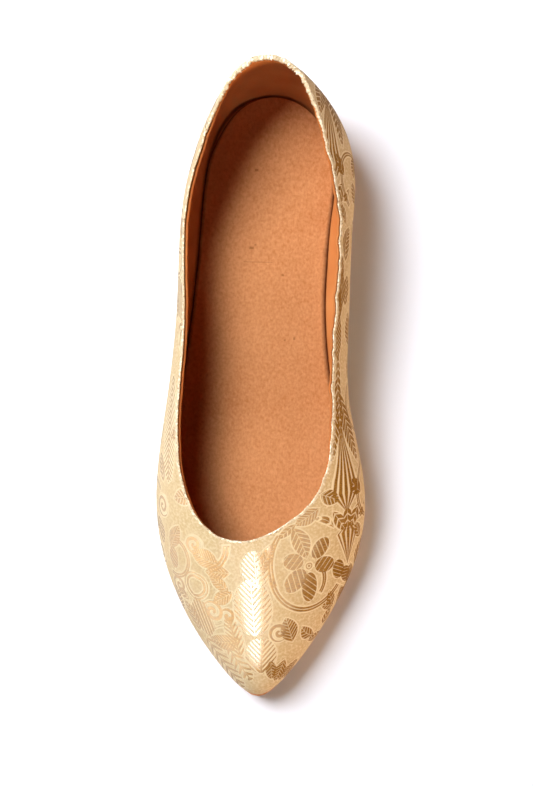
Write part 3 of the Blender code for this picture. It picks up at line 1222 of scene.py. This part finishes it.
class TopLine:
    """The upper's top edge as a smooth closed path.

    Stations run from the heel's back round the outer side to the throat, and back by the inner side. The
    cloth's edge strays from the path in and out, as folded cloth does, in waves that each have a count
    round the edge, a start and a size.
    """

    strays: ClassVar[tuple[tuple[int, float, float], ...]] = (
        (23, 0.10, 0.00018),
        (37, 0.62, 0.00014),
        (61, 0.35, 0.00010),
        (97, 0.81, 0.00007),
    )
    stray_reach: ClassVar[float] = 0.016
    stray_middle: ClassVar[float] = 0.65
    stray_swing: ClassVar[float] = 0.45

    def __init__(self, skin: bpy.types.Object, above: float) -> None:
        """Reads the path from a skin's upper boundary.

        Args:
            skin: The outer skin, open at the top.
            above: Height above which a boundary edge is the top edge.
        """
        ring = self.ring(skin, above)
        points = places(skin)[ring]
        outward = places(skin, "normal")[ring]
        start = int(np.argmin(points[:, 1]))
        points, outward = np.roll(points, -start, 0), np.roll(outward, -start, 0)
        if points[len(points) // 4, 0] < 0:
            points, outward = points[::-1], outward[::-1]
            points, outward = np.roll(points, 1, 0), np.roll(outward, 1, 0)
        steps = np.linalg.norm(np.roll(points, -1, 0) - points, axis=1)
        self.length = float(steps.sum())
        self.station = np.concatenate([[0.0], np.cumsum(steps)[:-1]])
        along = unit(np.roll(points, -1, 0) - np.roll(points, 1, 0))
        outward = unit(outward - along * np.sum(outward * along, axis=1)[:, None])
        down = np.cross(outward, along)
        down *= -np.sign(down[:, 2])[:, None]
        self.tables = {"point": points, "outward": outward, "down": down}

    @staticmethod
    def ring(skin: bpy.types.Object, above: float) -> list[int]:
        """Indices of the top boundary's points, in order.

        Args:
            skin: A skin, open at the top.
            above: Height above which a boundary edge is the top edge.

        Returns:
            The indices.
        """
        mesh = bmesh.new()
        mesh.from_mesh(skin.data)
        edges = [e for e in mesh.edges if e.is_boundary and min(v.co.z for v in e.verts) > above]
        links: dict[int, list[int]] = {}
        for edge in edges:
            first, second = (v.index for v in edge.verts)
            links.setdefault(first, []).append(second)
            links.setdefault(second, []).append(first)
        mesh.free()
        start = min(links)
        ring, before, here = [start], start, links[start][0]
        while here != start:
            ring.append(here)
            before, here = here, next(n for n in links[here] if n != before)
        return ring

    def at(self, what: str, share: np.ndarray) -> np.ndarray:
        """Values along the path at shares 0 to 1 of its length, by a periodic cubic.

        Args:
            what: "point", "outward" or "down".
            share: The shares.

        Returns:
            One row for each share.
        """
        table = self.tables[what]
        count = len(table)
        stations = np.append(self.station, self.length)
        index = np.interp(np.mod(share, 1) * self.length, stations, range(count + 1))
        whole = np.floor(index).astype(int)
        t = (index - whole)[:, None]
        before, here, after, later = (table[(whole + k) % count] for k in (-1, 0, 1, 2))
        cubic = 3 * (here - after) + later - before
        square = 2 * before - 5 * here + 4 * after - later
        rows = here + 0.5 * t * (after - before + t * (square + t * cubic))
        return rows if what == "point" else unit(rows)

    def stray(self, share: np.ndarray) -> np.ndarray:
        """How far outwards the edge strays at shares of its length, least on the outer side."""
        waves = sum(size * np.sin(TURN * (count * share + start)) for count, start, size in self.strays)
        return waves * (self.stray_middle - self.stray_swing * np.sin(TURN * share))

    def place(self, share: np.ndarray, depth: np.ndarray, drop: np.ndarray) -> np.ndarray:
        """Points inside the outer surface and below the edge.

        Args:
            share: Shares of the edge's length.
            depth: How far inside the outer surface each is.
            drop: How far below the edge each is.

        Returns:
            The points, one a row.
        """
        outward = self.at("outward", share) * (self.stray(share) - depth)[:, None]
        return self.at("point", share) + outward + self.at("down", share) * drop[:, None]

    def lower(self, obj: bpy.types.Object, drop: float, reach: float) -> None:
        """Draws the top of a skin down along itself and lets it stray with the edge.

        Args:
            obj: The skin.
            drop: How far its edge goes down.
            reach: Distance below the edge where the drop has faded away.
        """
        tree = KDTree(len(self.station))
        for index, point in enumerate(self.tables["point"]):
            tree.insert(point, index)
        tree.balance()
        stray = self.stray(self.station / self.length)
        floor = self.tables["point"][:, 2].min() - self.stray_reach
        points = places(obj)
        for index, point in enumerate(points):
            if point[2] < floor:
                continue
            _, nearest, distance = tree.find(point)
            fall = drop * max(0.0, 1 - distance / reach)
            side = stray[nearest] * max(0.0, 1 - distance / self.stray_reach) ** 2
            move = self.tables["down"][nearest] * fall + self.tables["outward"][nearest] * side
            points[index] = point + move
        move_to(obj, points)


def heel_share(share: np.ndarray, reach: float) -> np.ndarray:
    """1 at the back of the heel, easing to 0 at a share of the top edge to either side."""
    return 1 - ease(np.minimum(share, 1 - share) / reach)


def throat_share(share: np.ndarray, reach: float) -> np.ndarray:
    """1 at the throat, easing to 0 at a share of the top edge to either side."""
    return 1 - ease(np.abs(share - 0.5) / reach)


@dataclass
class Upper:
    """The brocade skin and the lining, with their turned edges."""

    skin_thickness: float = 0.0007
    skin_drop: tuple[float, float] = (0.0006, 0.004)
    lining_thickness: float = 0.0006
    lining_drop: tuple[float, float] = (0.0012, 0.005)
    region_angle: float = 35.0
    smooth_angle: float = 50.0
    top_share: float = 0.35
    quarter_below: float = 0.008
    quarter_beyond: float = 0.02
    vamp_from: float = 0.062
    vamp_above: float = 0.008
    back_length: float = 0.03
    seam_width: float = 0.0004
    under_slope: float = -0.6
    unwrap_steps: int = 30
    low: Vector = field(init=False)
    top_above: float = field(init=False)

    def __post_init__(self) -> None:
        """Takes the upper's lowest corner and the height of its top edge from the frame."""
        self.low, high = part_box("upper")
        self.top_above = self.low.z + self.top_share * (high.z - self.low.z)

    def build(self) -> list[bpy.types.Object]:
        """Builds and dresses the skins and their edges.

        Returns:
            The brocade skin, the lining and the edge of each.
        """
        skin = self.region("upper_brocade", outer=True)
        subdivide(skin, 1)
        self.lay_cloth(skin)
        subdivide(skin, 1)
        edge = TopLine(skin, self.top_above)
        edge.lower(skin, *self.skin_drop)
        self.thicken(skin, self.skin_thickness)
        dress(skin, Brocade(), Slot.BROCADE, "upper")

        lining = self.region("upper_lining", outer=False)
        subdivide(lining, 2)
        edge.lower(lining, *self.lining_drop)
        self.thicken(lining, self.lining_thickness)
        dress(lining, LiningLeather(), Slot.SUEDE)

        return [skin, lining, Fold().build(edge), LiningEdge().build(edge)]

    def region(self, name: str, outer: bool) -> bpy.types.Object:
        """One side of the CAD wall as an open skin.

        Args:
            name: The skin's name.
            outer: True for the outside of the shoe, False for its inside.

        Returns:
            The skin.
        """

        def sideways(face: bpy.types.MeshPolygon) -> float:
            """Scores a face.

            Args:
                face: The face.

            Returns:
                How squarely it looks out of the shoe, or into it, and less than any of those if it isn't
                on the outer quarter.
            """
            if face.center.z < self.top_above - self.quarter_below or face.center.x < self.quarter_beyond:
                return -2.0
            return face.normal.x if outer else -face.normal.x

        return side_of_node("upper", name, self.region_angle, sideways)

    def thicken(self, skin: bpy.types.Object, thickness: float) -> None:
        """Gives a skin its thickness, away from the side that shows."""
        modify(skin, "SOLIDIFY", thickness=thickness, offset=-1, use_even_offset=True)
        shade(skin, self.smooth_angle)

    def lay_cloth(self, skin: bpy.types.Object) -> None:
        """Lays the skin flat as a UV map in millimetres, open at the back of the heel.

        The origin is at the middle of the throat, the second axis runs to the toe and the first to the
        outer side.

        Args:
            skin: The skin.
        """
        points = places(skin)
        back = points[np.argmin(points[:, 1]), 0]
        with editing(skin, "FACE"):
            bpy.ops.object.mode_set(mode="OBJECT")
            for edge in skin.data.edges:
                ends = points[list(edge.vertices)]
                behind = ends[:, 1].max() < self.low.y + self.back_length
                edge.use_seam = bool(behind and np.abs(ends[:, 0] - back).max() < self.seam_width)
            for face in skin.data.polygons:
                face.select = face.normal.z < self.under_slope and face.center.z < self.top_above
            bpy.ops.object.mode_set(mode="EDIT")
            bpy.ops.mesh.region_to_loop()
            bpy.ops.mesh.mark_seam()
            bpy.ops.mesh.select_all(action="SELECT")
            bpy.ops.uv.unwrap(
                method="MINIMUM_STRETCH", fill_holes=False, margin=0.0, iterations=self.unwrap_steps
            )
        self.measure_cloth(skin, points)

    def measure_cloth(self, skin: bpy.types.Object, points: np.ndarray) -> None:
        """Turns, places and scales the flat cloth to real millimetres.

        Args:
            skin: The skin, unwrapped.
            points: Its points in space.
        """
        mesh = skin.data
        layer = mesh.uv_layers.active
        layer.name = "cloth"
        flat = np.zeros(len(mesh.loops) * 2)
        layer.data.foreach_get("uv", flat)
        flat = flat.reshape(-1, 2)
        owner = np.zeros(len(mesh.loops), dtype=int)
        mesh.loops.foreach_get("vertex_index", owner)
        cloth = np.zeros((len(points), 2))
        cloth[owner] = flat
        ends = np.zeros(len(mesh.edges) * 2, dtype=int)
        mesh.edges.foreach_get("vertices", ends)
        vamp = (points[:, 1] > self.vamp_from) & (points[:, 2] > self.low.z + self.vamp_above)
        ends = ends.reshape(-1, 2)
        ends = ends[vamp[ends].all(axis=1)]
        real = np.linalg.norm(points[ends[:, 0]] - points[ends[:, 1]], axis=1)
        drawn = np.linalg.norm(cloth[ends[:, 0]] - cloth[ends[:, 1]], axis=1)
        scale = real.sum() / drawn.sum() / MM
        ring = TopLine.ring(skin, self.top_above)
        throat = cloth[ring[int(np.argmax(points[ring, 1]))]]
        tip = cloth[np.argmax(np.where(vamp, points[:, 1], -1.0))]
        axis = (tip - throat) / np.linalg.norm(tip - throat)
        turn = np.array([[axis[1], -axis[0]], [axis[0], axis[1]]])
        layer.data.foreach_set("uv", ((flat - throat) @ turn.T * scale).ravel())


@dataclass
class Fold:
    """The brocade's folded top edge: a flat roll, ragged with snipped teeth inside the heel."""

    half: float = 0.00022
    heel_half: float = 0.0006
    over: float = 0.0001
    squareness: float = 2 / 3
    upright: float = 0.00085
    sink: float = 0.0007
    throat_flat: float = 0.0004
    teeth: float = 0.0001
    heel_teeth: float = 0.0009
    tooth_least: float = 0.25
    tooth_pitch: float = 0.0031
    tooth_sway: tuple[tuple[int, float], ...] = ((33, 0.7), (71, 0.4))
    uneven: tuple[tuple[int, float], ...] = ((41, 0.2), (29, 0.7))
    uneven_height: float = 0.00016
    twist: float = 0.00006
    twist_pitch: float = 0.0013
    heel_reach: float = 0.13
    throat_reach: float = 0.14
    stations: int = 2400
    rows: int = 14

    def build(self, edge: TopLine) -> bpy.types.Object:
        """Builds and dresses the fold.

        Args:
            edge: The upper's top edge.

        Returns:
            The fold.
        """
        teeth = round(edge.length / self.tooth_pitch)
        twists = round(edge.length / self.twist_pitch)

        def shape(along: np.ndarray, around: np.ndarray) -> np.ndarray:
            """Shapes the roll.

            Args:
                along: Shares of its length.
                around: Shares of its turn.

            Returns:
                The points, one a row.
            """
            heel = heel_share(along, self.heel_reach)
            half = self.half + self.heel_half * heel
            flat = self.throat_flat * throat_share(along, self.throat_reach)
            x, y = np.cos(TURN * around), np.sin(TURN * around)
            across = self.squared(x) * (half + self.over)
            upright = self.squared(y) * (self.upright - flat)
            uneven = self.unevenness(along)
            tooth = self.tooth(along, teeth) * (self.teeth + self.heel_teeth * heel)
            rope = self.twist * np.sin(TURN * (twists * along + around))
            across += np.clip(x, 0, 1) * (tooth * (self.tooth_least + uneven) + rope)
            upright += rope + self.uneven_height * (uneven - 0.5) - self.sink + flat
            return edge.place(along, half + across, -upright)

        obj = rolled("topline_fold", self.stations, self.rows, shape)
        return dress(obj, FoldedBrocade(), Slot.BROCADE)

    def squared(self, part: np.ndarray) -> np.ndarray:
        """A circle's cosine or sine, swelled so that the roll is nearer to a square."""
        return np.sign(part) * np.abs(part) ** self.squareness

    def unevenness(self, along: np.ndarray) -> np.ndarray:
        """How far the roll swells at shares of its length, from 0 to 1."""
        waves = (np.sin(TURN * (count * along + start)) for count, start in self.uneven)
        return 0.5 + 0.5 * math.prod(waves)

    def tooth(self, along: np.ndarray, teeth: int) -> np.ndarray:
        """The snipped teeth, unevenly spaced: 1 at their tips and 0 between them."""
        sway = sum(size * np.sin(TURN * count * along) for count, size in self.tooth_sway)
        return np.abs(np.mod(teeth * along + sway, 1) - 0.5) * 2


@dataclass
class LiningEdge:
    """The lining's turned edge: a slim ridge just inside the fold."""

    depth: float = 0.00162
    half_depth: float = 0.00054
    drop: float = 0.0011
    heel_drop: float = 0.0010
    half_drop: float = 0.00060
    heel_reach: float = 0.12
    stations: int = 600
    rows: int = 10

    def build(self, edge: TopLine) -> bpy.types.Object:
        """Builds and dresses the ridge.

        Args:
            edge: The upper's top edge.

        Returns:
            The ridge.
        """

        def shape(along: np.ndarray, around: np.ndarray) -> np.ndarray:
            """Shapes the ridge.

            Args:
                along: Shares of its length.
                around: Shares of its turn.

            Returns:
                The points, one a row.
            """
            angle = TURN * around
            depth = self.depth + self.half_depth * np.cos(angle)
            drop = self.drop + self.heel_drop * heel_share(along, self.heel_reach)
            return edge.place(along, depth, drop - self.half_drop * np.sin(angle))

        obj = rolled("lining_edge", self.stations, self.rows, shape)
        return dress(obj, LiningLeather(), Slot.SUEDE)


# ---------------------------------------------------------------- under the foot


@dataclass
class Insole:
    """The suede sock: a sheet with a soft rolled edge.

    At the waist its inner edge laps up the lining, and its outer edge is spread to the lining's foot.
    """

    thickness: float = 0.0012
    edge: float = 0.0008
    edge_segments: int = 4
    shrink: tuple[float, float] = (0.996, 0.999)
    lap: float = 0.0024
    lap_reach: float = 0.016
    lap_lift: float = 0.0007
    lap_ends: tuple[float, float] = (-0.085, 0.045)
    lap_fade: float = 0.040
    ray_height: float = 0.010
    spread_reach: float = 0.012
    spread_most: float = 0.0032
    spread_gap: float = 0.0004
    spread_ends: tuple[float, float] = (-0.108, 0.085)
    spread_fade: float = 0.020
    border_bands: int = 90
    region_angle: float = 35.0
    edge_angle: float = 50.0
    smooth_angle: float = 60.0

    def build(self) -> list[bpy.types.Object]:
        """Builds and dresses the sock.

        Returns:
            The sock.
        """

        def upward(face: bpy.types.MeshPolygon) -> float:
            """A face's area as seen from above, below zero if it faces down."""
            return face.normal.z * face.area

        obj = side_of_node("insole", "insole_sock", self.region_angle, upward)
        subdivide(obj, 2)
        points = places(obj)
        points[:, :2] *= self.shrink
        move_to(obj, points)
        lining = self.lining()
        self.climb(obj, lining)
        self.spread(obj, lining)
        self.mark_shaded_edge(obj)
        modify(obj, "SOLIDIFY", thickness=self.thickness, offset=-1, use_even_offset=True)
        limit = math.radians(self.edge_angle)
        modify(
            obj, "BEVEL",
            width=self.edge, segments=self.edge_segments, limit_method="ANGLE", angle_limit=limit,
        )
        shade(obj, self.smooth_angle)
        return [dress(obj, InsoleSuede(), Slot.SUEDE, "insole")]

    @staticmethod
    def lining() -> BVHTree:
        """The inside of the shoe, for rays to meet.

        Returns:
            The upper's faces.
        """
        wall = frame["nodes"]["upper"].data
        corners = [vertex.co for vertex in wall.vertices]
        return BVHTree.FromPolygons(corners, [tuple(face.vertices) for face in wall.polygons])

    @staticmethod
    def mark_shaded_edge(obj: bpy.types.Object) -> None:
        """Marks the sheet's edge in its "rim" attribute, where the suede paints the shade of the crease
        against the lining.

        Args:
            obj: The sock's sheet.
        """
        mesh = bmesh.new()
        mesh.from_mesh(obj.data)
        border = [float(vertex.is_boundary) for vertex in mesh.verts]
        mesh.free()
        obj.data.attributes.new("rim", "FLOAT", "POINT").data.foreach_set("value", border)

    def border(self, points: np.ndarray, side: int) -> np.ndarray:
        """Where a sheet's edge lies across the shoe, level with each of its points.

        Args:
            points: The sheet's points, one a row.
            side: 1 for the edge on the outer side, -1 for the inner one.

        Returns:
            One place across the shoe for each point.
        """
        stations = np.linspace(points[:, 1].min(), points[:, 1].max(), self.border_bands)
        band = np.digitize(points[:, 1], stations)
        bands = [points[band == k] for k in range(1, len(stations)) if np.any(band == k)]
        edge = [side * (side * rows[:, 0]).max() for rows in bands]
        return np.interp(points[:, 1], [rows[:, 1].mean() for rows in bands], edge)

    def climb(self, obj: bpy.types.Object, lining: BVHTree) -> None:
        """Moves the sock's inner edge outwards and up the lining.

        Args:
            obj: The sock's sheet.
            lining: The upper's faces.
        """
        points = places(obj)
        border = self.border(points, -1)
        waist = stretch(points[:, 1], self.lap_ends, self.lap_fade)
        near = waist * ease(1 - (points[:, 0] - border) / self.lap_reach)
        for index in np.flatnonzero(near > LEAST_SHARE):
            x, y, z = points[index]
            x -= self.lap * near[index]
            above = Vector((x, y, z + self.ray_height))
            place = lining.ray_cast(above, Vector((0, 0, -1)))[0]
            if place is not None:
                points[index] = x, y, max(z, place.z + self.lap_lift * near[index])
        move_to(obj, points)

    def spread(self, obj: bpy.types.Object, lining: BVHTree) -> None:
        """Moves the sock's outer edge out to the lining's foot.

        Args:
            obj: The sock's sheet.
            lining: The upper's faces.
        """
        points = places(obj)
        border = self.border(points, 1)
        side = stretch(points[:, 1], self.spread_ends, self.spread_fade)
        near = side * ease(1 - (border - points[:, 0]) / self.spread_reach)
        for index in np.flatnonzero(near > LEAST_SHARE):
            inside = Vector((border[index] - self.spread_most, points[index, 1], points[index, 2]))
            place = lining.ray_cast(inside, Vector((1, 0, 0)))[0]
            if place is not None:
                room = place.x - self.spread_gap - border[index]
                points[index, 0] += near[index] * min(max(room, 0.0), self.spread_most)
        move_to(obj, points)


@dataclass
class Tread:
    """A rubber piece with wavy ribs cut into its underside, which can be set in under the toe."""

    node: str
    name: str
    finish: Finish
    slot: Slot
    pitch: float
    wave_height: float
    lengthwise: bool
    wave_length: float = 0.0194
    depth: float = 0.0008
    skim: float = 0.00002
    rows_per_rib: int = 8
    columns_per_wave: int = 16
    room: float = 0.004
    rise: float = 0.03
    bands: int = 60
    toe_inset: float = 0.0
    toe_start: float = 0.055
    toe_length: float = 0.040
    toe_core: float = 0.006
    smooth_angle: float = 40.0

    def underside(self) -> Callable[[np.ndarray], np.ndarray]:
        """Measures the node's underside.

        Returns:
            A function from places along the shoe to the underside's heights there.
        """
        points = places(frame["nodes"][self.node])
        low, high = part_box(self.node)
        index = np.digitize(points[:, 1], np.linspace(low.y, high.y, self.bands))
        bands = [points[index == k] for k in range(1, self.bands + 1) if np.any(index == k)]
        along = np.array([rows[np.argmin(rows[:, 2]), 1] for rows in bands])
        height = np.array([rows[:, 2].min() for rows in bands])
        return functools.partial(np.interp, xp=along, fp=height)

    def build(self) -> list[bpy.types.Object]:
        """Builds and dresses the ribbed piece.

        Returns:
            The piece.
        """
        obj = copy_of_node(self.node, self.name)
        self.set_in(obj)
        cutter = self.cutter()
        modify(obj, "BOOLEAN", operation="INTERSECT", solver="MANIFOLD", object=cutter)
        bpy.data.objects.remove(cutter)
        shade(obj, self.smooth_angle)
        return [dress(obj, self.finish, self.slot, self.node)]

    def set_in(self, obj: bpy.types.Object) -> None:
        """Draws the piece's sides in under the toe.

        Args:
            obj: The piece.
        """
        points = places(obj)
        inset = self.toe_inset * ease((points[:, 1] - self.toe_start) / self.toe_length)
        points[:, 0] *= 1 - inset / np.maximum(np.abs(points[:, 0]), self.toe_core)
        move_to(obj, points)

    def cutter(self) -> bpy.types.Object:
        """A block whose underside has the ribs, and whose rows follow their waves.

        Returns:
            The block.
        """
        low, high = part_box(self.node)
        under = self.underside()
        run_low, run_high = (low.x, high.x) if self.lengthwise else (low.y, high.y)
        side_low, side_high = (low.y, high.y) if self.lengthwise else (low.x, high.x)
        start = run_low - self.room - self.wave_height
        rows = math.ceil((run_high + self.room + self.wave_height - start) / self.pitch)
        span = side_high - side_low + 2 * self.room
        columns = math.ceil(span / self.wave_length * self.columns_per_wave)

        def shape(across: np.ndarray, along: np.ndarray) -> np.ndarray:
            """Shapes the ribbed face.

            Args:
                across: Shares of its span along the ribs.
                along: Shares of its run across the ribs.

            Returns:
                The points, one a row.
            """
            side = side_low - self.room + across * span
            wave = self.wave_height / 2 * np.sin(TURN * side / self.wave_length)
            run = start + along * rows * self.pitch + wave
            x, y = (run, side) if self.lengthwise else (side, run)
            groove = 0.5 - 0.5 * np.cos(TURN * rows * along)
            return np.column_stack([x, y, under(y) + self.skim + self.depth * groove])

        obj = grid_sheet(self.name + "_cutter", columns, rows * self.rows_per_rib, shape)
        with editing(obj, "FACE"):
            bpy.ops.mesh.select_all(action="SELECT")
            bpy.ops.mesh.extrude_region_move(TRANSFORM_OT_translate={"value": (0, 0, self.rise)})
            bpy.ops.mesh.select_all(action="SELECT")
            bpy.ops.mesh.normals_make_consistent(inside=False)
        return obj


# ---------------------------------------------------------------- studio


@dataclass(frozen=True)
class Lamp:
    """A soft rectangular lamp that faces the shoe, from an azimuth and elevation in degrees.

    It lights matt surfaces, shows in shiny ones, or both.
    """

    name: str
    azimuth: float
    elevation: float
    width: float
    height: float
    power: float
    distance: float = 1.5
    colour: tuple[float, float, float] = (1.0, 1.0, 1.0)
    lights: bool = True
    shines: bool = True

    def hang(self) -> None:
        """Puts the lamp in the scene."""
        azimuth, elevation = math.radians(self.azimuth), math.radians(self.elevation)
        towards = Vector((
            math.cos(elevation) * math.cos(azimuth),
            math.cos(elevation) * math.sin(azimuth),
            math.sin(elevation),
        ))
        light = bpy.data.lights.new(self.name, "AREA")
        light.shape = "RECTANGLE"
        light.size, light.size_y = self.width, self.height
        light.energy = self.power
        light.color = self.colour
        lamp = bpy.data.objects.new(self.name, light)
        lamp.location = towards * self.distance
        lamp.rotation_euler = towards.to_track_quat("Z", "Y").to_euler()
        lamp.visible_diffuse = self.lights
        lamp.visible_glossy = self.shines
        bpy.context.scene.collection.objects.link(lamp)


@dataclass
class Studio:
    """Paper, soft lamps, a surround that is bright on the outer side and a camera above the shoe."""

    stand: tuple[float, float, float] = (-0.0416, 0.0008, 0.700)
    aim: tuple[float, float, float] = (-0.002, 0.002, 0.025)
    image_up: tuple[float, float, float] = (0.028, -0.9996, 0.0)
    view_angle: float = 26.0
    paper_size: float = 8.0
    lamps: tuple[Lamp, ...] = (
        Lamp("key", -42.0, 54.5, 0.78, 0.78, 37.0),
        Lamp("strip", 82.0, 44.5, 0.42, 0.62, 6.4, distance=1.1, lights=False),
        Lamp("front", 95.0, 12.0, 0.60, 0.24, 2.9, distance=1.3, shines=False),
        Lamp("bounce", 150.0, 8.0, 0.50, 0.24, 13.6, distance=1.2, colour=(1.0, 0.67, 0.40), shines=False),
        Lamp("ceiling", 0.0, 90.0, 6.00, 6.00, 145.0, colour=(1.0, 0.90, 0.68), lights=False),
        Lamp("panel", 15.0, 38.0, 0.90, 0.60, 4.4, distance=1.0, colour=(1.0, 0.90, 0.66), lights=False),
        Lamp("low_panel", 38.0, 13.0, 1.10, 0.36, 2.3, distance=1.0, colour=(1.0, 0.90, 0.66), lights=False),
    )
    overhead: Colour = (0.0, 0.0, 0.0, 1)
    outer_side: Colour = (1.90, 1.82, 1.60, 1)
    inner_side: Colour = (0.12, 0.05, 0.01, 1)
    side_falloff: int = 3
    height_falloff: int = 6

    def build(self) -> None:
        """Builds the floor, lights and camera."""
        self.floor()
        self.lights()
        self.camera()

    def floor(self) -> None:
        """A wide sheet of paper at the shoe's lowest point."""
        bpy.ops.object.select_all(action="DESELECT")
        bpy.ops.mesh.primitive_plane_add(size=self.paper_size, location=(0, 0, 0))
        paper = bpy.context.active_object
        paper.name = "paper"
        paper.data.materials.append(StudioPaper().material())
        paper.visible_glossy = False

    def lights(self) -> None:
        """The lamps and the surround, which is dark overhead and on the inner side."""
        for lamp in self.lamps:
            lamp.hang()
        world = bpy.data.worlds.new("surround")
        world.use_nodes = True
        nodes = Nodes(world.node_tree)
        towards = nodes.add("ShaderNodeTexCoord").outputs["Generated"]
        x, _, z = nodes.split(towards)
        outward = x.scaled(0.5, 0.5) ** self.side_falloff
        low = (1 - z.higher(0.0)) ** self.height_falloff
        sides = nodes.mix(outward, self.inner_side, self.outer_side)
        nodes.feed(world.node_tree.nodes["Background"], {"Color": nodes.mix(low, self.overhead, sides)})
        bpy.context.scene.world = world
        bpy.context.scene.view_settings.view_transform = "Standard"

    def camera(self) -> None:
        """The camera, over the shoe's inner side and rolled so that the toe points down."""
        data = bpy.data.cameras.new("camera")
        data.angle = math.radians(self.view_angle)
        lens = bpy.data.objects.new("camera", data)
        stand = Vector(self.stand)
        forward = (Vector(self.aim) - stand).normalized()
        right = forward.cross(Vector(self.image_up)).normalized()
        up = right.cross(forward)
        turn = Matrix((right, up, -forward)).transposed()
        lens.matrix_world = Matrix.Translation(stand) @ turn.to_4x4()
        bpy.context.scene.collection.objects.link(lens)
        bpy.context.scene.camera = lens


def main() -> None:
    """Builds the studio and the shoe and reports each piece."""
    logging.basicConfig(level=logging.INFO, format="%(message)s")
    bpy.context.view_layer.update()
    Studio().build()
    assemblies = (
        Upper(),
        Insole(),
        Tread(
            "outsole", "outsole_ribbed", SoleRubber(), Slot.SOLE,
            pitch=0.0026, wave_height=0.0052, lengthwise=False, toe_inset=0.0010,
        ),
        Tread(
            "heel", "heel_ribbed", SoleRubber("heel_crepe"), Slot.HEEL,
            pitch=0.00335, wave_height=0.0051, lengthwise=True,
        ),
    )
    for assembly in assemblies:
        for piece in assembly.build():
            LOG.info("%s: %d faces", piece.name, len(piece.data.polygons))


if __name__ == "__main__":
    main()
